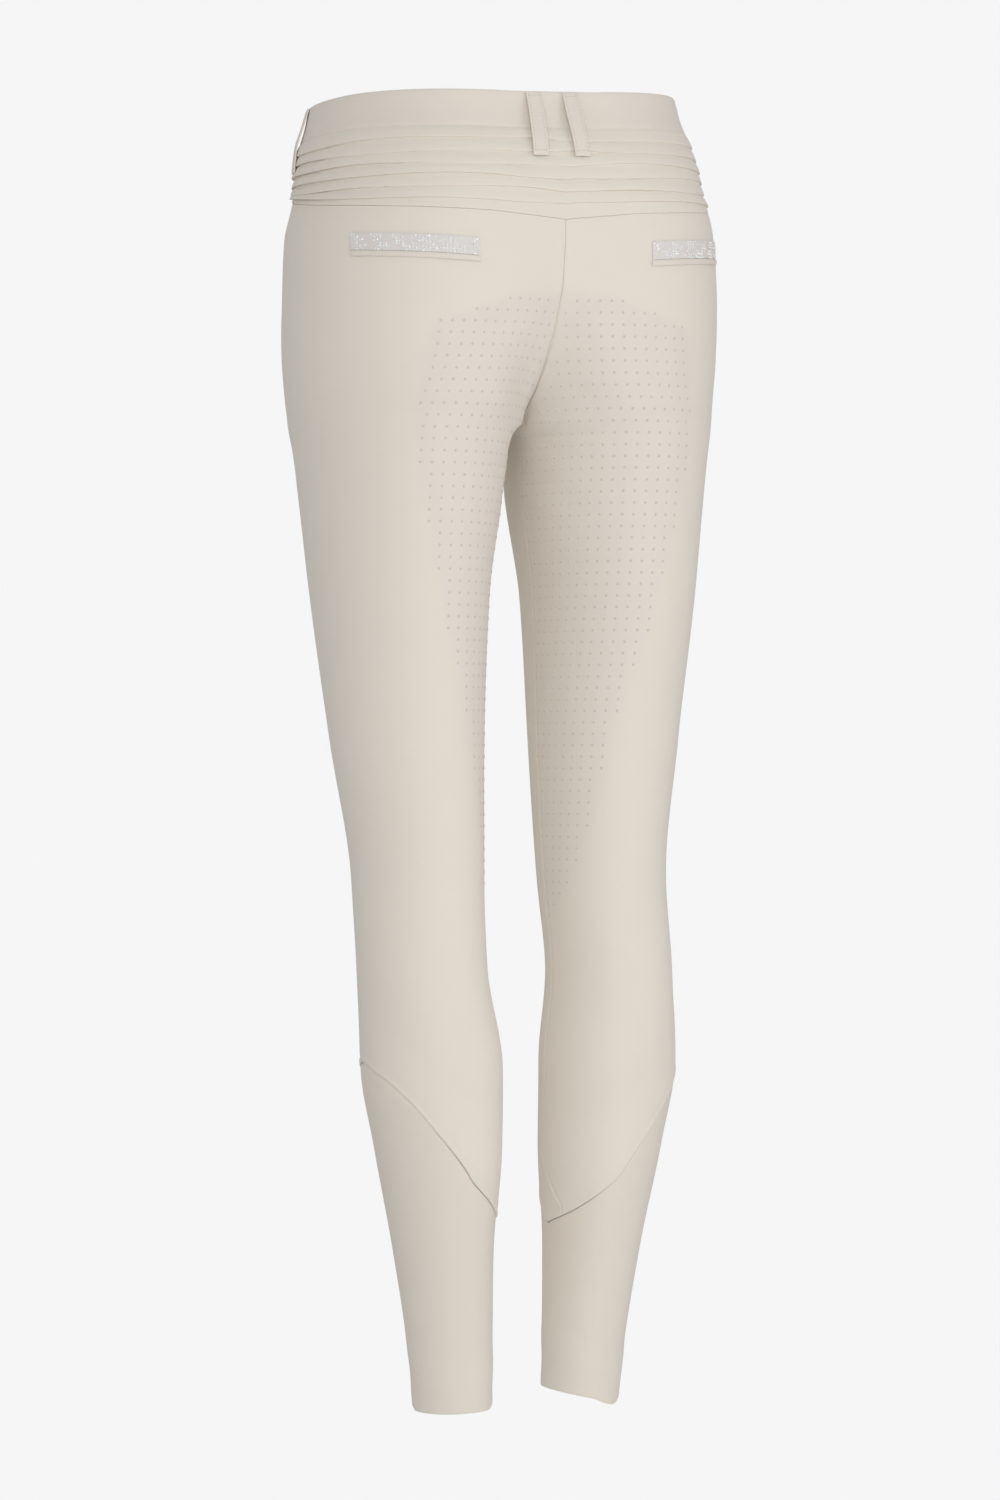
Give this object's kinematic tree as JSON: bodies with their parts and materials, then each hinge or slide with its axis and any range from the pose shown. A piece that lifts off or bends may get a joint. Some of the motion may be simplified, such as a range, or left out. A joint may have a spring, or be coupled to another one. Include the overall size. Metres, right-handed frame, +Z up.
{
  "type": "riding breeches",
  "caption": "Women's full-grip riding breeches in sand-beige stretch cloth, filled out as worn, with a tucked back yoke, sparkling pocket strips and slanted sock cuffs",
  "frame": {"origin": "the middle of the waist opening, within the height of the waistband, where the wearer's waist holds the breeches up", "axes": "+Z up the body and out of the waist opening, +Y to the wearer's back, +X to the wearer's left"},
  "size_m": [0.3178, 0.2495, 0.9467],
  "materials": {
    "breeches_cloth": "smooth stretch microfibre with a soft matt face, sand beige",
    "cuff_cloth": "thin smooth stretch jersey, sand beige",
    "band_cloth": "double layer of the breeches cloth, edge-stitched",
    "sparkle_strip": "strip set closely with small clear stones",
    "grip_silicone": "soft silicone printed on the cloth as small raised dots",
    "button": "plain sew-on button in the colour of the cloth"
  },
  "bodies": {
    "root": {"back_left": "breeches_cloth", "back_right": "breeches_cloth", "front_left": "breeches_cloth", "front_right": "breeches_cloth", "cuff_left": "cuff_cloth", "cuff_right": "cuff_cloth", "yoke": "breeches_cloth", "waistband_back": "band_cloth", "waistband_front_left": "band_cloth", "waistband_front_right": "band_cloth", "waistband_tab": "band_cloth", "fly_placket": "breeches_cloth", "waist_button": "button", "belt_loop_back_left": "band_cloth", "belt_loop_side_left": "band_cloth", "belt_loop_front_left": "band_cloth", "pocket_inlay_left": "sparkle_strip", "pocket_welt_left": "breeches_cloth", "front_pocket_welt_left": "breeches_cloth", "belt_loop_back_right": "band_cloth", "belt_loop_side_right": "band_cloth", "belt_loop_front_right": "band_cloth", "pocket_inlay_right": "sparkle_strip", "pocket_welt_right": "breeches_cloth", "front_pocket_welt_right": "breeches_cloth"}
  },
  "joints": []
}
